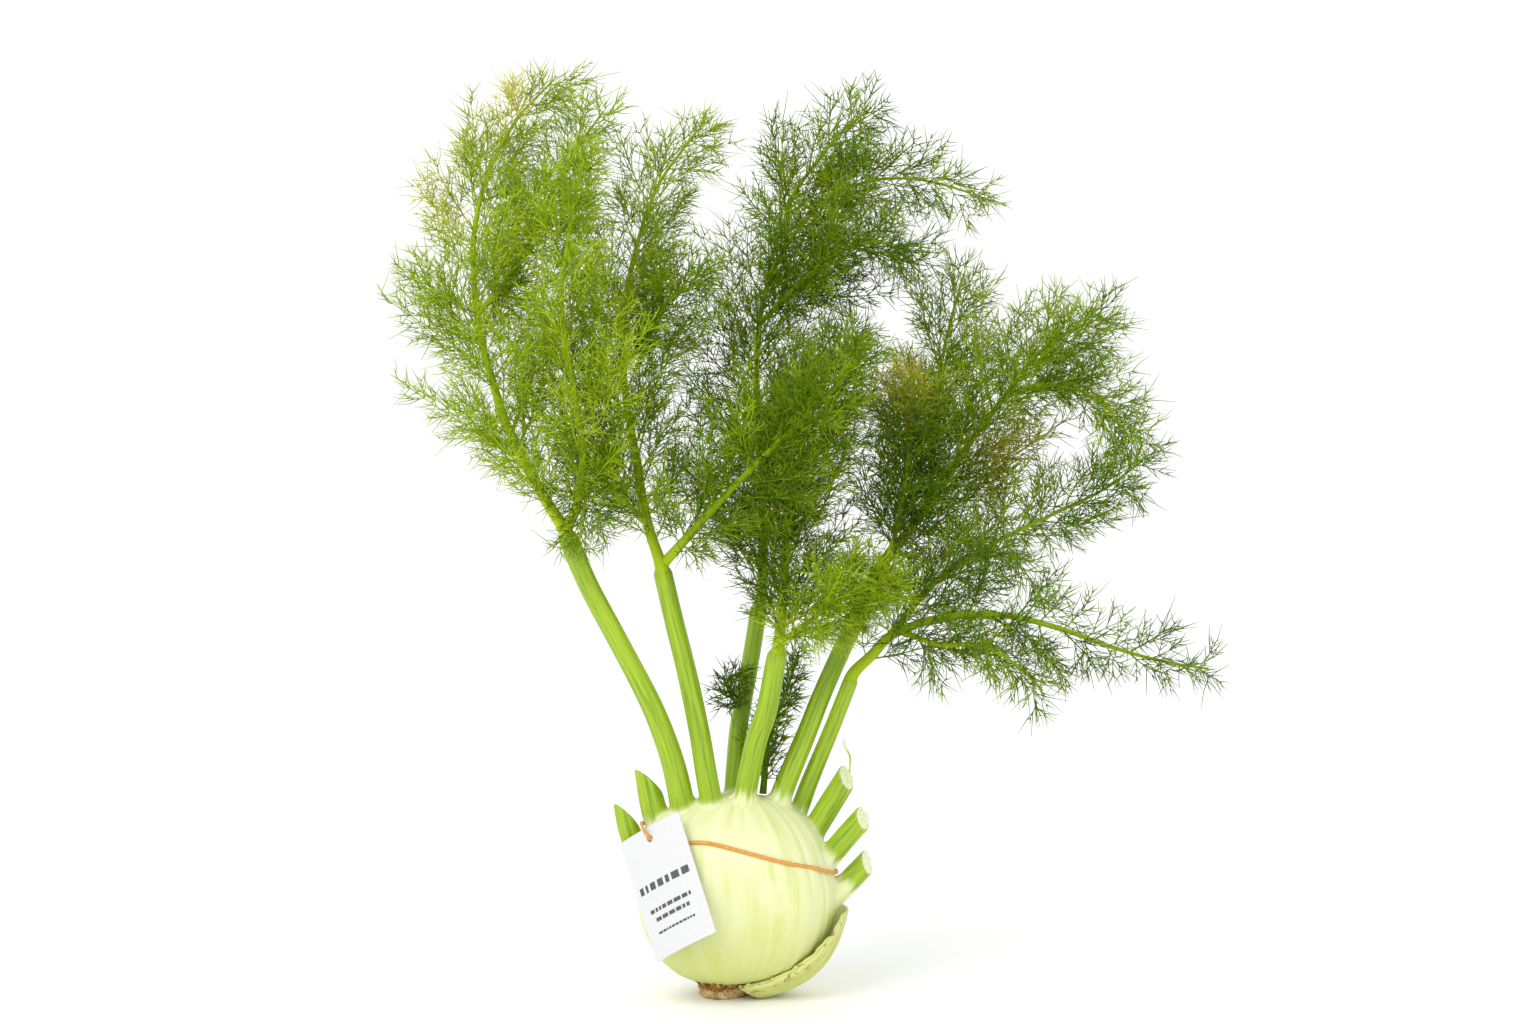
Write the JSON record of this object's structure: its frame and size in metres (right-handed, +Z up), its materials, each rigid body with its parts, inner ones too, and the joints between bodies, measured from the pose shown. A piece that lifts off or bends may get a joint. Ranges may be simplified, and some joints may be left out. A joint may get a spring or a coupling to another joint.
{
  "type": "fennel bulb",
  "caption": "Florence fennel bulb standing on its trimmed root, with cut and long green stalks, feathery fronds, an orange rubber band and a blank card tag.",
  "frame": {"origin": "middle of the flat cut under the root plate, on the surface that the bulb stands on", "axes": "+Z up along the bulb and stalks, +X across the bulb's broad face towards the three cut stalks, front with the tag towards -Y"},
  "size_m": [0.4369, 0.1904, 0.509],
  "materials": {
    "root_skin": "matte",
    "bulb_skin": "satin",
    "sheath_skin": "satin",
    "stalk_skin": "satin",
    "frond_leaf": "matte",
    "strand_fibre": "matte",
    "band_rubber": "satin",
    "tag_card": "matte"
  },
  "bodies": {
    "root": {"root_plate": "root_skin", "bulb": "bulb_skin", "outer_sheath": "sheath_skin", "cut_stalk_right_low": "stalk_skin", "cut_stalk_right_mid": "stalk_skin", "cut_stalk_right_top": "stalk_skin", "cut_stalk_left_outer": "stalk_skin", "cut_stalk_left_inner": "stalk_skin", "stalk_a": "stalk_skin", "stalk_b": "stalk_skin", "stalk_c": "stalk_skin", "stalk_d": "stalk_skin", "stalk_e": "stalk_skin", "stalk_f": "stalk_skin", "frond_a_outer": "frond_leaf", "frond_a_inner": "frond_leaf", "frond_a_back": "frond_leaf", "frond_b_main": "frond_leaf", "frond_b_front": "frond_leaf", "frond_b_low": "frond_leaf", "frond_b_side": "frond_leaf", "frond_c_main": "frond_leaf", "frond_c_top": "frond_leaf", "frond_c_side": "frond_leaf", "frond_d_main": "frond_leaf", "frond_d_front": "frond_leaf", "frond_e_main": "frond_leaf", "frond_e_top": "frond_leaf", "frond_e_upright": "frond_leaf", "frond_e_inner": "frond_leaf", "frond_f_main": "frond_leaf", "frond_f_back": "frond_leaf", "frond_f_front": "frond_leaf", "heart_leaf": "frond_leaf", "curled_leaf": "frond_leaf", "peeled_strand": "strand_fibre", "rubber_band": "band_rubber", "hang_tag": "tag_card"}
  },
  "joints": []
}
